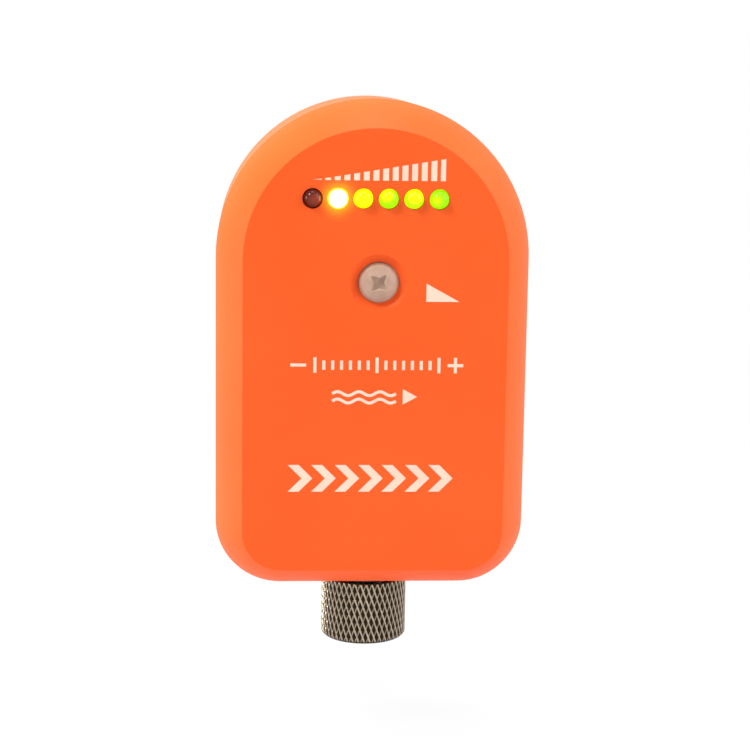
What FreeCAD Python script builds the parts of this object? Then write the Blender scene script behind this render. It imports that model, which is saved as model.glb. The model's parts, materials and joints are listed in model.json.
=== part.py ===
"""Thermal flow switch with a plastic head, an M12 connector and a G1/2 process fitting.

Millimetres. The probe points along +Y and the display faces -Y, with the arched top of the
head at +Z and the connector at -Z. The origin is the centre of the sealing face of the
process fitting, and the Y axis is the axis of the probe and of the arch.

Every size is a cell of the sheet "dims". The places below are expressions of those cells, and
every sketch, feature and placement is bound to them.
"""
import FreeCAD, Part
import math
import os

import Sketcher

Vector = FreeCAD.Vector

SIZES = {
    # plastic head
    "head_width": 51.0,
    "head_height": 80.0,
    "corner_radius": 10.7,
    "front_depth": 9.0,         # from the parting line to the front panel
    "rear_depth": 25.0,         # from the parting line to the back face
    "panel_inset": 4.4,         # from the outline at the parting line to the panel's edge
    "rim_crown": 0.5,           # rise of the rim's arc over its chord
    "cover_wall": 2.2,
    "housing_wall": 2.2,
    "back_wall": 3.0,
    "back_fillet": 3.0,
    "parting_chamfer": 0.3,
    "gasket_inset": 0.6,
    "gasket_width": 0.9,
    "gasket_depth": 1.0,
    "seal_gap": 0.05,           # between a seal and the side of its groove
    # screws through the back that hold the two halves together
    "upper_screw_inset": 6.3,   # from the arch
    "upper_screw_angle": 20.0,  # above the centre of the arch, in degrees
    "lower_screw_inset": 8.0,   # from the side and from the bottom
    "post_radius": 2.8,
    "screw_radius": 1.45,
    "screw_head_radius": 2.75,
    "screw_head_height": 2.0,
    "screw_head_round": 0.8,
    "screw_head_gap": 0.15,
    "screw_sink": 2.6,          # depth of the counterbore for the head
    "screw_thread": 5.5,        # how far the screw goes into the front cover
    "screw_gap": 0.05,
    # circuit board and the row of lamps
    "board_inset": 4.7,
    "board_thickness": 1.6,
    "board_gap": 1.0,           # from the board's notches to the screw posts
    "board_screw_inset": 8.7,   # from the side of the head
    "board_screw_upper_z": -9.0,
    "board_screw_lower_rise": 20.5,     # from the bottom of the head
    "board_screw_radius": 1.1,
    "board_screw_head_radius": 2.0,
    "board_screw_head_height": 1.5,
    "board_screw_head_round": 0.6,
    "board_screw_grip": 4.2,
    "board_boss_radius": 2.4,
    "lamp_pitch": 4.0,
    "lamp_count": 6,
    "lamp_row_x": -0.2,
    "lamp_row_drop": 15.4,      # from the top of the head
    "lamp_radius": 1.5,
    "lamp_flange_radius": 1.9,
    "lamp_flange_height": 1.0,
    "lamp_height": 5.3,
    "lamp_proud": 1.1,          # how far the dome stands out of the panel
    "lamp_gap": 0.1,
    "lamp_leg_spacing": 2.54,
    "lamp_leg_width": 0.5,
    "lamp_leg_tail": 1.0,       # past the back of the board
    "leg_hole_radius": 0.42,
    "spacer_height": 4.0,
    "spacer_width": 4.4,
    "spacer_margin": 0.4,       # past the last flange at each end
    # set point: trimmer under a nylon screw
    "trimmer_x": 0.4,
    "trimmer_drop": 13.3,       # from the row of lamps
    "dish_radius": 4.55,
    "dish_depth": 0.9,
    "seat_radius": 3.25,
    "seat_depth": 2.2,
    "seat_boss_radius": 5.2,
    "seat_boss_height": 3.5,    # behind the panel
    "plug_head_radius": 3.0,
    "plug_head_height": 2.0,
    "plug_crown": 0.75,         # height of the dome on the head
    "plug_shank_radius": 1.45,
    "plug_shank_length": 4.0,
    "plug_tip_chamfer": 0.36,
    "plug_gap": 0.05,
    "plug_cross_width": 0.75,
    "plug_cross_length": 3.5,
    "plug_cross_depth": 1.2,
    "plug_cross_taper": 12.0,   # degrees
    "plug_seal_thickness": 0.6,
    "plug_seal_radius": 2.7,
    "trimmer_side": 4.5,
    "trimmer_height": 1.7,
    "rotor_radius": 1.4,
    "rotor_thickness": 1.0,
    "rotor_proud": 0.25,
    "rotor_pivot_radius": 0.4,
    "rotor_pivot_length": 0.6,
    "rotor_slot_width": 0.5,
    "rotor_slot_depth": 0.45,
    "rotor_gap": 0.05,
    # board electronics: a rise is from the bottom of the head
    "processor_x": 0.0,
    "processor_rise": 37.5,
    "processor_side": 7.0,
    "processor_height": 1.4,
    "transistor_x": -9.2,
    "transistor_rise": 33.6,
    "transistor_width": 6.5,
    "transistor_length": 6.1,
    "transistor_height": 2.3,
    "component_chamfer": 0.3,
    "capacitor_x": 9.2,
    "capacitor_rise": 35.0,
    "capacitor_radius": 3.15,
    "capacitor_height": 5.8,
    "capacitor_edge": 0.35,
    "capacitor_groove_z": 1.6,  # the middle of the rolled groove, over the board
    "capacitor_groove_width": 0.8,
    "capacitor_groove_depth": 0.25,
    # M12 connector
    "shell_radius": 6.0,
    "shell_bore": 4.5,
    "shell_end_gap": 0.1,       # from the shell's end to the seal in the cap
    "collar_radius": 7.3,
    "collar_height": 5.0,
    "collar_groove_depth": 0.9,
    "collar_groove_width": 1.4,
    "collar_boss_wall": 2.6,
    "moulding_gap": 0.02,       # between the shell and the plastic moulded round it
    "insert_radius": 4.45,
    "insert_face": 2.5,         # the insert's face, below the bottom of the head
    "insert_flange_radius": 5.5,
    "insert_flange_height": 2.0,
    "insert_tail": 1.2,         # behind the flange
    "insert_gap": 0.05,
    "key_width": 1.0,
    "key_depth": 0.6,
    "contact_circle": 2.5,      # radius of the circle of contacts
    "contact_radius": 0.5,
    "contact_length": 6.5,      # in front of the insert
    "contact_tail": 1.5,        # behind the insert
    "contact_gap": 0.02,
    "lead_radius": 0.55,
    "lead_bend": 4.0,
    "lead_rise": 1.0,           # of the front pair before it bends
    "lead_step": 4.0,           # how much higher the rear pair runs
    # knurled cap on the connector
    "cap_radius": 7.35,
    "cap_length": 10.7,
    "cap_drop": 2.1,            # from the bottom of the head to the cap's rim
    "cap_floor": 1.2,
    "cap_chamfer": 0.5,
    "cap_gap": 0.08,
    "cap_seal_thickness": 1.0,
    "root_seal_thickness": 0.9,
    "root_seal_round": 0.3,
    "root_seal_gap": 0.15,
    # process fitting and probe
    "hex_size": 27.0,           # across the flats
    "hex_thickness": 9.0,
    "hex_chamfer": 1.2,         # along the axis, at the corners
    "hex_face_radius": 13.3,    # where the chamfer meets the face
    "collar_length": 3.0,       # between the head and the hexagon
    "shoulder_radius": 13.3,
    "thread_radius": 10.4775,   # G1/2
    "thread_length": 14.0,
    "thread_chamfer": 1.1,
    "thread_pitch": 1.814,
    "thread_depth": 1.0,
    "thread_start": 1.5,        # plain length next to the sealing face
    "thread_crest": 0.25,       # width of a crest
    "stub_radius": 10.0,        # M20 x 1.5 inside the head
    "stub_gap": 0.1,
    "stub_tail": 1.5,           # past the nut
    "nut_wall": 2.5,            # at the flats
    "nut_thickness": 4.0,
    "nut_gap": 0.05,
    "fitting_bore": 4.4,
    "fitting_seal_inner": 11.2,
    "fitting_seal_section": 1.1,
    "probe_radius": 5.0,
    "probe_wall": 0.8,
    "probe_reach": 31.0,        # past the sealing face
    "probe_root": 4.0,          # where the sleeve starts inside the fitting
    "probe_nose": 1.6,
    "probe_gap": 0.03,
    # sensing strip inside the probe
    "strip_thickness": 0.8,
    "strip_side_gap": 0.15,
    "strip_tip_gap": 0.4,
    "strip_tail": 6.0,          # on the head's side of the sealing face
    "sensor_width": 3.2,
    "sensor_length": 2.4,
    "sensor_height": 0.9,
    "heated_sensor_back": 3.2,  # its centre, from the strip's tip
    "reference_sensor_back": 14.0,
    "sensor_lead_radius": 0.35,
    "sensor_lead_pitch": 1.6,
    "sensor_lead_overlap": 1.5,
}

# Places along Y
BACK = "(-dims.hex_thickness - dims.collar_length)"
BACK_INSIDE = f"({BACK} - dims.back_wall)"
RIM = f"({BACK} - dims.rear_depth)"
PANEL = f"({RIM} - dims.front_depth)"
PANEL_INSIDE = f"({PANEL} + dims.cover_wall)"
LAMP_BASE = f"({PANEL} - dims.lamp_proud + dims.lamp_height)"
BOARD_FRONT = f"({LAMP_BASE} + dims.spacer_height)"
BOARD_BACK = f"({BOARD_FRONT} + dims.board_thickness)"
SEAT = f"({PANEL} + dims.seat_depth)"
SEAT_BOSS = f"({PANEL_INSIDE} + dims.seat_boss_height)"
NUT_FACE = f"({BACK_INSIDE} - dims.nut_thickness)"
CONNECTOR = f"({BACK} - dims.rear_depth / 2)"
PROBE_FLOOR = "(dims.probe_reach - dims.probe_wall)"
STRIP_TIP = f"({PROBE_FLOOR} - dims.strip_tip_gap)"

# Places along Z
BOTTOM = "(dims.head_width / 2 - dims.head_height)"
FLOOR = f"({BOTTOM} + dims.housing_wall)"
CAP_RIM = f"({BOTTOM} - dims.cap_drop)"
CAP_END = f"({CAP_RIM} - dims.cap_length)"
CAP_FLOOR = f"({CAP_END} + dims.cap_floor)"
SHELL_END = f"({CAP_FLOOR} + dims.cap_seal_thickness + dims.shell_end_gap)"
COLLAR_TOP = f"({FLOOR} + dims.collar_height)"
INSERT_FACE = f"({BOTTOM} - dims.insert_face)"
INSERT_TOP = f"({COLLAR_TOP} + dims.insert_tail)"
CONTACT_TOP = f"({INSERT_TOP} + dims.contact_tail)"
LOCK_FOOT = "(dims.collar_height - dims.collar_groove_width) / 2"

# The rim of the cover is one shallow arc, from the parting line to the panel's edge
RIM_CHORD = "sqrt(dims.panel_inset ^ 2 + dims.front_depth ^ 2)"
RIM_RADIUS = f"(({RIM_CHORD} ^ 2 / 4 + dims.rim_crown ^ 2) / (2 * dims.rim_crown))"
RIM_SETBACK = f"(({RIM_RADIUS} - dims.rim_crown) / {RIM_CHORD})"
RIM_X = f"((dims.head_width - dims.panel_inset) / 2 - {RIM_SETBACK} * dims.front_depth)"
RIM_Y = f"(({RIM} + {PANEL}) / 2 + {RIM_SETBACK} * dims.panel_inset)"
INNER_RIM_RADIUS = f"({RIM_RADIUS} - dims.cover_wall)"
INNER_RIM = f"({RIM_X} + sqrt({INNER_RIM_RADIUS} ^ 2 - ({RIM} - {RIM_Y}) ^ 2))"
INNER_EDGE = f"({RIM_X} + sqrt({INNER_RIM_RADIUS} ^ 2 - ({PANEL_INSIDE} - {RIM_Y}) ^ 2))"
INNER_DEPTH = "(dims.front_depth - dims.cover_wall)"

# The dish round the screw is a hollow arc, level where it meets the seat
DISH_FLOOR = f"({PANEL} + dims.dish_depth)"
DISH_WIDTH = "(dims.dish_radius - dims.seat_radius)"
DISH_CURVE = f"(({DISH_WIDTH} ^ 2 + dims.dish_depth ^ 2) / (2 * dims.dish_depth))"

# Full turns of the pipe thread, drawn as rings
THREAD_REACH = "(dims.thread_length - dims.thread_chamfer - dims.thread_start)"
THREAD_TURNS = f"floor({THREAD_REACH} / dims.thread_pitch)"

LAMP_ROW_Z = "(dims.head_width / 2 - dims.lamp_row_drop)"
TRIMMER_Z = f"({LAMP_ROW_Z} - dims.trimmer_drop)"
LAMP_ROW = "((dims.lamp_count - 1) * dims.lamp_pitch)"
FIRST_LAMP = f"(dims.lamp_row_x - {LAMP_ROW} / 2)"
LEG_X = "(dims.lamp_leg_spacing / 2)"
UPPER_SCREW_RADIUS = "(dims.head_width / 2 - dims.upper_screw_inset)"
UPPER_SCREW_X = f"({UPPER_SCREW_RADIUS} * cos(dims.upper_screw_angle))"
UPPER_SCREW_Z = f"({UPPER_SCREW_RADIUS} * sin(dims.upper_screw_angle))"
LOWER_SCREW_X = "(dims.head_width / 2 - dims.lower_screw_inset)"
LOWER_SCREW_Z = f"({BOTTOM} + dims.lower_screw_inset)"
HOUSING_SCREWS = [
    (UPPER_SCREW_X, UPPER_SCREW_Z), (f"-{UPPER_SCREW_X}", UPPER_SCREW_Z),
    (LOWER_SCREW_X, LOWER_SCREW_Z), (f"-{LOWER_SCREW_X}", LOWER_SCREW_Z),
]
BOARD_SCREW_X = "(dims.head_width / 2 - dims.board_screw_inset)"
BOARD_SCREW_LOW = f"({BOTTOM} + dims.board_screw_lower_rise)"
BOARD_SCREWS = [
    (BOARD_SCREW_X, "dims.board_screw_upper_z"), (f"-{BOARD_SCREW_X}", "dims.board_screw_upper_z"),
    (BOARD_SCREW_X, BOARD_SCREW_LOW), (f"-{BOARD_SCREW_X}", BOARD_SCREW_LOW),
]
LAMPS = ["led_red", "led_yellow", "led_green_1", "led_green_2", "led_green_3", "led_green_4"]

doc = FreeCAD.newDocument("flow_switch")
dims = doc.addObject("Spreadsheet::Sheet", "dims")
for row, (size_name, size) in enumerate(SIZES.items(), start=1):
    dims.set(f"A{row}", size_name)
    dims.set(f"B{row}", str(size))
    dims.setAlias(f"B{row}", size_name)
doc.recompute()


# ---- drawing helpers ----

def datum(body, role):
    """One of the body's own origin planes or axes."""
    return next(item for item in body.Origin.OriginFeatures if item.Role == role)


def new_body(name, x=None, y=None, z=None):
    """A body named after its sub-part, placed at expressions of the sheet."""
    body = doc.addObject("PartDesign::Body", name)
    body.Label = name
    for side, place in (("x", x), ("y", y), ("z", z)):
        if place:
            body.setExpression(f"Placement.Base.{side}", place)
    return body


def new_sketch(body, name, plane, offset="0"):
    """A sketch on one of the body's origin planes, moved along the plane's normal."""
    sketch = body.newObject("Sketcher::SketchObject", name)
    sketch.AttachmentSupport = [(datum(body, plane), "")]
    sketch.MapMode = "FlatFace"
    sketch.setExpression("AttachmentOffset.Base.z", offset)
    return sketch


def facing(body, name, y):
    """A sketch at a height along Y, with x to the right and z up."""
    return new_sketch(body, name, "XZ_Plane", f"-({y})")


def bind(sketch, kind, geometry, point, size):
    """One dimension of a sketch, bound to an expression. Without a point it is a radius."""
    value = float(sketch.evalExpression(size))
    where = (geometry, value) if point is None else (geometry, point, value)
    index = sketch.addConstraint(Sketcher.Constraint(kind, *where))
    sketch.setExpression(f"Constraints[{index}]", size)


def draw(sketch, points):
    """A closed outline. A point is (x, y), or (x, y, (cx, cy), turn) where an arc about
    (cx, cy) leaves it: turn is 1 for anticlockwise and -1 for clockwise."""
    spots = [Vector(*(float(sketch.evalExpression(size)) for size in point[:2]), 0)
             for point in points]
    ends = []
    for index, point in enumerate(points):
        start, end = spots[index], spots[(index + 1) % len(points)]
        if len(point) == 2:
            ends.append((sketch.addGeometry(Part.LineSegment(start, end), False), 1, 2))
            continue
        (cx, cy), turn = point[2:]
        centre = Vector(float(sketch.evalExpression(cx)), float(sketch.evalExpression(cy)), 0)
        circle = Part.Circle(centre, Vector(0, 0, 1), centre.distanceToPoint(start))
        first, last = (start, end) if turn > 0 else (end, start)
        angles = [math.atan2(spot.y - centre.y, spot.x - centre.x) for spot in (first, last)]
        arc = sketch.addGeometry(Part.ArcOfCircle(circle, *angles), False)
        ends.append((arc, 1, 2) if turn > 0 else (arc, 2, 1))
        bind(sketch, "DistanceY", arc, 3, cy)
    for index, (geometry, start, end) in enumerate(ends):
        following, next_start, _ = ends[(index + 1) % len(ends)]
        sketch.addConstraint(Sketcher.Constraint("Coincident", geometry, end, following, next_start))
        bind(sketch, "DistanceX", geometry, start, points[index][0])
        bind(sketch, "DistanceY", geometry, start, points[index][1])


def draw_circle(sketch, x, y, radius):
    """A circle whose centre and radius are bound."""
    circle = sketch.addGeometry(Part.Circle(Vector(0, 0, 0), Vector(0, 0, 1), 1), False)
    bind(sketch, "DistanceX", circle, 3, x)
    bind(sketch, "DistanceY", circle, 3, y)
    bind(sketch, "Radius", circle, None, radius)


def draw_box(sketch, x, y, width, length):
    """A rectangle about its centre (x, y)."""
    left, right = f"{x} - {width} / 2", f"{x} + {width} / 2"
    low, high = f"{y} - {length} / 2", f"{y} + {length} / 2"
    draw(sketch, [(left, low), (right, low), (right, high), (left, high)])


def draw_head(sketch, inset):
    """The head's outline: a half round over a straight body with rounded lower corners."""
    side = f"(dims.head_width / 2 - {inset})"
    turn = f"(dims.head_width / 2 - dims.corner_radius)"
    corner = f"({BOTTOM} + dims.corner_radius)"
    low = f"({BOTTOM} + {inset})"
    draw(sketch, [
        (side, "0", ("0", "0"), 1),
        (f"-{side}", "0"),
        (f"-{side}", corner, (f"-{turn}", corner), 1),
        (f"-{turn}", low),
        (turn, low, (turn, corner), 1),
        (side, corner),
    ])


def draw_hexagon(sketch, size):
    """A hexagon about the origin, by its size across the flats."""
    flat = f"({size} / 2)"
    corner = f"({size} / sqrt(3))"
    draw(sketch, [
        (corner, "0"), (f"{corner} / 2", flat), (f"-{corner} / 2", flat),
        (f"-{corner}", "0"), (f"-{corner} / 2", f"-{flat}"), (f"{corner} / 2", f"-{flat}"),
    ])


def pad(body, sketch, length, back=True):
    """Material from a sketch: towards +Y or along -Z if back, else the sketch's own way."""
    feature = body.newObject("PartDesign::Pad", f"{sketch.Name}_pad")
    feature.Profile = sketch
    feature.Reversed = back
    feature.setExpression("Length", length)
    return feature


def pocket(body, sketch, depth, back=True):
    """A cut from a sketch, which has to take something away."""
    doc.recompute()
    before = body.Shape.Volume
    feature = body.newObject("PartDesign::Pocket", f"{sketch.Name}_pocket")
    feature.Profile = sketch
    feature.Reversed = not back
    feature.setExpression("Length", depth)
    doc.recompute()
    if not feature.Shape.Volume < before:
        raise RuntimeError(f"{feature.Name} cuts nothing")
    return feature


def turned(body, sketch, cut=False):
    """A full turn of a sketch about its own vertical axis."""
    kind = "Groove" if cut else "Revolution"
    feature = body.newObject(f"PartDesign::{kind}", f"{sketch.Name}_{kind.lower()}")
    feature.Profile = sketch
    feature.ReferenceAxis = (sketch, ["V_Axis"])
    feature.Angle = 360
    return feature


def lathe(name, plane, points, **place):
    """A turned sub-part: radius against height along Y (XY_Plane) or Z (XZ_Plane)."""
    body = new_body(name, **place)
    sketch = new_sketch(body, f"{name}_profile", plane)
    draw(sketch, points)
    turned(body, sketch)
    return body


def bore(body, name, plane, points, offset="0", aside="0"):
    """A turned cut about the body's own axis, or about one moved from it: offset is along the
    plane's normal and aside along its X."""
    sketch = new_sketch(body, name, plane, offset)
    sketch.setExpression("AttachmentOffset.Base.x", aside)
    draw(sketch, points)
    doc.recompute()
    before = body.Shape.Volume
    feature = turned(body, sketch, cut=True)
    doc.recompute()
    if not feature.Shape.Volume < before:
        raise RuntimeError(f"{feature.Name} cuts nothing")
    return feature


def repeat(body, feature, axis, length, count):
    """Copies of a feature in a row."""
    pattern = body.newObject("PartDesign::LinearPattern", f"{feature.Name}_row")
    pattern.Originals = [feature]
    pattern.Direction = (datum(body, axis), [""])
    pattern.setExpression("Length", length)
    pattern.setExpression("Occurrences", count)
    body.Tip = pattern
    return pattern


def is_near(value, size):
    """Whether a coordinate is at an expression's value."""
    return abs(value - float(dims.evalExpression(size))) < 1e-4


def distance(point, x, z):
    """How far a point is from the line along Y through (x, z)."""
    return math.hypot(point.x - float(dims.evalExpression(x)),
                      point.z - float(dims.evalExpression(z)))


def edges_at(shape, test):
    """Names of the edges both of whose ends pass a test."""
    return [f"Edge{index}" for index, edge in enumerate(shape.Edges, start=1)
            if all(test(vertex.Point) for vertex in edge.Vertexes)]


def dress(body, kind, base, edges, size):
    """A fillet or chamfer on some edges of a feature."""
    feature = body.newObject(f"PartDesign::{kind}", f"{base.Name}_{kind.lower()}")
    feature.Base = (base, edges)
    feature.setExpression("Radius" if kind == "Fillet" else "Size", size)
    doc.recompute()
    return feature


def sweep(body, profile, path, edges):
    """Material from a profile carried along the edges of a path sketch."""
    feature = body.newObject("PartDesign::AdditivePipe", f"{profile.Name}_pipe")
    feature.Profile = profile
    feature.Spine = (path, [f"Edge{index}" for index in range(1, edges + 1)])
    return feature


# ---- plastic head ----

def make_front_cover():
    """Shell with a flat panel, a convex rim of even wall, bosses, and openings in the panel."""
    body = new_body("front_cover")
    plate = facing(body, "panel_outline", PANEL)
    draw_head(plate, "dims.panel_inset")
    pad(body, plate, "dims.cover_wall")
    path = facing(body, "rim_path", RIM)
    draw_head(path, "0")
    wall = new_sketch(body, "rim_section", "XY_Plane")
    centre = (RIM_X, RIM_Y)
    draw(wall, [
        ("dims.head_width / 2", RIM, centre, -1),
        ("dims.head_width / 2 - dims.panel_inset", PANEL),
        (INNER_EDGE, PANEL_INSIDE, centre, 1), (INNER_RIM, RIM),
    ])
    doc.recompute()
    sweep(body, wall, path, 6)

    posts = facing(body, "screw_posts", PANEL_INSIDE)
    for x, z in HOUSING_SCREWS:
        draw_circle(posts, x, z, "dims.post_radius")
    pad(body, posts, INNER_DEPTH)
    bosses = facing(body, "board_bosses", PANEL_INSIDE)
    for x, z in BOARD_SCREWS:
        draw_circle(bosses, x, z, "dims.board_boss_radius")
    pad(body, bosses, f"{BOARD_FRONT} - {PANEL_INSIDE}")
    seat_boss = facing(body, "seat_boss", PANEL_INSIDE)
    draw_circle(seat_boss, "dims.trimmer_x", TRIMMER_Z, "dims.seat_boss_radius")
    pad(body, seat_boss, "dims.seat_boss_height")

    lamp_hole = facing(body, "lamp_hole", PANEL)
    draw_circle(lamp_hole, FIRST_LAMP, LAMP_ROW_Z, "dims.lamp_radius + dims.lamp_gap")
    hole = pocket(body, lamp_hole, "dims.cover_wall")
    repeat(body, hole, "X_Axis", LAMP_ROW, "dims.lamp_count")
    seat = facing(body, "screw_seat", PANEL)
    draw_circle(seat, "dims.trimmer_x", TRIMMER_Z, "dims.seat_radius")
    pocket(body, seat, "dims.seat_depth")
    thread = facing(body, "plug_hole", SEAT)
    draw_circle(thread, "dims.trimmer_x", TRIMMER_Z,
                "dims.plug_shank_radius + dims.plug_gap")
    pocket(body, thread, f"{SEAT_BOSS} - {SEAT}")
    bore(body, "screw_dish", "XY_Plane", [
        ("0", PANEL),
        ("dims.dish_radius", PANEL, ("dims.seat_radius", f"{DISH_FLOOR} - {DISH_CURVE}"), 1),
        ("dims.seat_radius", DISH_FLOOR), ("0", DISH_FLOOR),
    ], TRIMMER_Z, "dims.trimmer_x")

    for x, z in HOUSING_SCREWS:
        pilot = facing(body, f"screw_pilot_{len(body.Group)}", RIM)
        draw_circle(pilot, x, z, "dims.screw_radius + dims.screw_gap")
        pocket(body, pilot, "dims.screw_thread + dims.screw_gap", back=False)
    for x, z in BOARD_SCREWS:
        pilot = facing(body, f"board_pilot_{len(body.Group)}", BOARD_FRONT)
        draw_circle(pilot, x, z, "dims.board_screw_radius + dims.screw_gap")
        pocket(body, pilot, "dims.board_screw_grip + dims.screw_gap", back=False)


def make_rear_housing():
    """Deep tub with a rounded back edge, screw posts and the boss round the connector."""
    body = new_body("rear_housing")
    outline = facing(body, "tub_outline", RIM)
    draw_head(outline, "0")
    tub = pad(body, outline, "dims.rear_depth")
    doc.recompute()
    back = edges_at(tub.Shape, lambda point: is_near(point.y, BACK))
    rounded = dress(body, "Fillet", tub, back, "dims.back_fillet")
    rim = edges_at(rounded.Shape, lambda point: is_near(point.y, RIM))
    dress(body, "Chamfer", rounded, rim, "dims.parting_chamfer")
    cavity = facing(body, "tub_cavity", RIM)
    draw_head(cavity, "dims.housing_wall")
    pocket(body, cavity, "dims.rear_depth - dims.back_wall")
    groove = facing(body, "gasket_groove", RIM)
    draw_head(groove, "dims.gasket_inset")
    draw_head(groove, "(dims.gasket_inset + dims.gasket_width)")
    pocket(body, groove, "dims.gasket_depth")

    posts = facing(body, "tub_posts", RIM)
    for x, z in HOUSING_SCREWS:
        draw_circle(posts, x, z, "dims.post_radius")
    pad(body, posts, "dims.rear_depth - dims.back_wall / 2")
    boss = new_sketch(body, "connector_boss", "XY_Plane", FLOOR)
    draw_circle(boss, "0", CONNECTOR, "dims.collar_radius + dims.collar_boss_wall")
    pad(body, boss, "dims.collar_height", back=False)

    for x, z in HOUSING_SCREWS:
        shank = facing(body, f"screw_hole_{len(body.Group)}", RIM)
        draw_circle(shank, x, z, "dims.screw_radius + dims.screw_gap")
        pocket(body, shank, "dims.rear_depth")
        sink = facing(body, f"screw_sink_{len(body.Group)}", BACK)
        draw_circle(sink, x, z, "dims.screw_head_radius + dims.screw_head_gap")
        pocket(body, sink, "dims.screw_sink", back=False)
    fitting = facing(body, "fitting_hole", BACK)
    draw_circle(fitting, "0", "0", "dims.stub_radius + dims.stub_gap")
    pocket(body, fitting, "dims.back_wall", back=False)

    shell = new_sketch(body, "shell_hole", "XY_Plane", BOTTOM)
    draw_circle(shell, "0", CONNECTOR, "dims.shell_radius + dims.moulding_gap")
    pocket(body, shell, "dims.housing_wall + dims.collar_height", back=False)
    collar = new_sketch(body, "collar_hole", "XY_Plane", COLLAR_TOP)
    draw_circle(collar, "0", CONNECTOR, "dims.collar_radius + dims.moulding_gap")
    pocket(body, collar, "dims.collar_height + dims.moulding_gap")
    lock = new_sketch(body, "collar_lock", "XY_Plane", f"{FLOOR} + {LOCK_FOOT} + dims.moulding_gap")
    draw_circle(lock, "0", CONNECTOR, "dims.collar_radius + dims.collar_boss_wall / 2")
    draw_circle(lock, "0", CONNECTOR,
                "dims.collar_radius - dims.collar_groove_depth + dims.moulding_gap")
    pad(body, lock, "dims.collar_groove_width - 2 * dims.moulding_gap", back=False)


def make_cover_gasket():
    """Rubber ring in the groove of the rear housing, along the whole parting line."""
    body = new_body("cover_gasket")
    ring = facing(body, "gasket_ring", RIM)
    draw_head(ring, "(dims.gasket_inset + dims.seal_gap)")
    draw_head(ring, "(dims.gasket_inset + dims.gasket_width - dims.seal_gap)")
    pad(body, ring, "dims.gasket_depth - dims.seal_gap")


def make_screws(name, places, head_seat, reach, sizes):
    """A set of pan-head screws along Y, heads at the back, that reach forward from the seat."""
    body = new_body(name)
    shank_radius, head_radius, head_height, head_round = sizes
    for index, (x, z) in enumerate(places, start=1):
        shank = facing(body, f"{name}_shank_{index}", head_seat)
        draw_circle(shank, x, z, shank_radius)
        pad(body, shank, reach, back=False)
        head = facing(body, f"{name}_head_{index}", head_seat)
        draw_circle(head, x, z, head_radius)
        block = pad(body, head, head_height)
        doc.recompute()
        top = edges_at(block.Shape, lambda point: is_near(point.y, f"{head_seat} + {head_height}")
                       and is_near(distance(point, x, z), head_radius))
        dress(body, "Fillet", block, top, head_round)


# ---- board and lamps ----

def make_circuit_board():
    """Board shaped to the head, notched round the screw posts, drilled for screws and lamps."""
    body = new_body("circuit_board")
    outline = facing(body, "board_outline", BOARD_FRONT)
    draw_head(outline, "dims.board_inset")
    pad(body, outline, "dims.board_thickness")
    for x, z in HOUSING_SCREWS:
        notch = facing(body, f"post_notch_{len(body.Group)}", BOARD_FRONT)
        draw_circle(notch, x, z, "dims.post_radius + dims.board_gap")
        pocket(body, notch, "dims.board_thickness")
    holes = facing(body, "board_screw_holes", BOARD_FRONT)
    for x, z in BOARD_SCREWS:
        draw_circle(holes, x, z, "dims.board_screw_radius + dims.screw_gap")
    pocket(body, holes, "dims.board_thickness")
    legs = facing(body, "leg_holes", BOARD_FRONT)
    for side in ("+", "-"):
        draw_circle(legs, FIRST_LAMP, f"{LAMP_ROW_Z} {side} {LEG_X}", "dims.leg_hole_radius")
    pair = pocket(body, legs, "dims.board_thickness")
    repeat(body, pair, "X_Axis", LAMP_ROW, "dims.lamp_count")


def make_lamp_spacer():
    """Black bar that holds the lamps at their height over the board."""
    body = new_body("led_spacer")
    width = f"({LAMP_ROW} + 2 * (dims.lamp_flange_radius + dims.spacer_margin))"
    bar = facing(body, "spacer_bar", LAMP_BASE)
    draw_box(bar, "dims.lamp_row_x", LAMP_ROW_Z, width, "dims.spacer_width")
    pad(body, bar, "dims.spacer_height")
    legs = facing(body, "spacer_holes", LAMP_BASE)
    for side in ("+", "-"):
        draw_circle(legs, FIRST_LAMP, f"{LAMP_ROW_Z} {side} {LEG_X}", "dims.leg_hole_radius")
    pair = pocket(body, legs, "dims.spacer_height")
    repeat(body, pair, "X_Axis", LAMP_ROW, "dims.lamp_count")


def make_lamp(name, index):
    """A 3 mm LED: domed body, flange and two legs that go through the board."""
    dome = "(dims.lamp_radius - dims.lamp_height)"
    body = lathe(name, "XY_Plane", [
        ("0", "0"),
        ("dims.lamp_flange_radius", "0"),
        ("dims.lamp_flange_radius", "-dims.lamp_flange_height"),
        ("dims.lamp_radius", "-dims.lamp_flange_height"),
        ("dims.lamp_radius", dome, ("0", dome), -1),
        ("0", "-dims.lamp_height"),
    ], x=f"{FIRST_LAMP} + {index} * dims.lamp_pitch", y=LAMP_BASE, z=LAMP_ROW_Z)
    legs = facing(body, f"{name}_legs", "0")
    for side in ("", "-"):
        draw_box(legs, "0", f"{side}{LEG_X}", "dims.lamp_leg_width", "dims.lamp_leg_width")
    pad(body, legs, "dims.spacer_height + dims.board_thickness + dims.lamp_leg_tail")


def make_chip(name, x, rise, width, length, height):
    """A moulded component on the back of the board."""
    body = new_body(name)
    outline = facing(body, f"{name}_outline", BOARD_BACK)
    draw_box(outline, x, f"({BOTTOM} + {rise})", width, length)
    block = pad(body, outline, height)
    doc.recompute()
    top = edges_at(block.Shape, lambda point: is_near(point.y, f"{BOARD_BACK} + {height}"))
    dress(body, "Chamfer", block, top, "dims.component_chamfer")


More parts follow.
